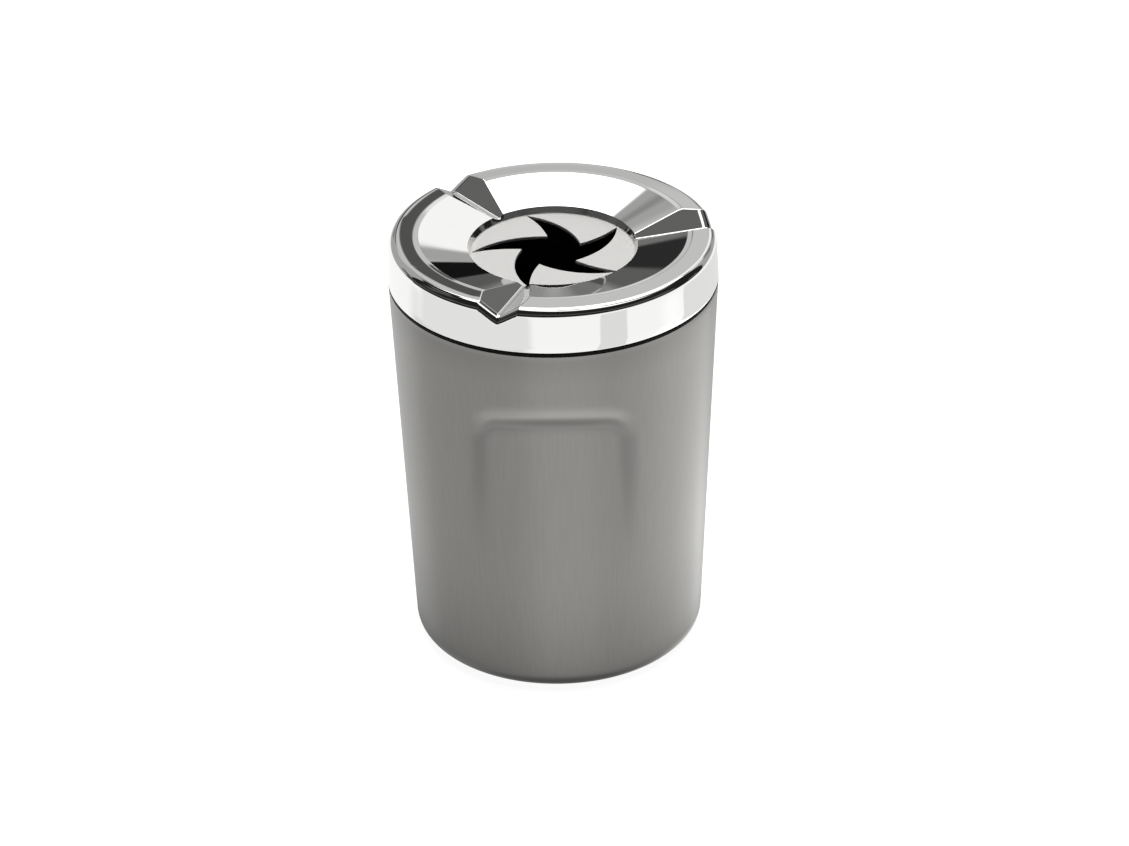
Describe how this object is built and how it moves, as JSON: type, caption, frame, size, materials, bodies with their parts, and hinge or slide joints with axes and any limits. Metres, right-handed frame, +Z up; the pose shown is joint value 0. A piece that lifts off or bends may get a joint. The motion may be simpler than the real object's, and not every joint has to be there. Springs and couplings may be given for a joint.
{
  "type": "car ashtray",
  "caption": "Tapered steel car ashtray cup with a lift-off chrome lid that has V-shaped cigarette rests, a funnel and a pinwheel snuffer plate.",
  "frame": {"origin": "middle of the base, on the surface that the cup stands on", "axes": "+Z up along the axis of the cup, -Y towards the pressed front panel, +X to the right of someone facing the panel"},
  "size_m": [0.0802, 0.0802, 0.1086],
  "materials": {
    "cup_steel": "satin with fine upright grain",
    "lid_chrome": "polished chrome plate",
    "plate_steel": "satin",
    "black_plastic": "moulded matt",
    "black_rubber": "matt",
    "screw_steel": "bright plated"
  },
  "bodies": {
    "cup_body": {"cup": "cup_steel"},
    "lid_body": {"lid": "lid_chrome", "snuffer_plate": "plate_steel", "lid_collar": "black_plastic", "seal_ring": "black_rubber", "lid_screws": "screw_steel"}
  },
  "joints": [
    {"name": "lid_lift", "type": "slide", "parent": "cup_body", "child": "lid_body", "axis": [0, 0, 1], "range_m": [0, 0.04]}
  ]
}
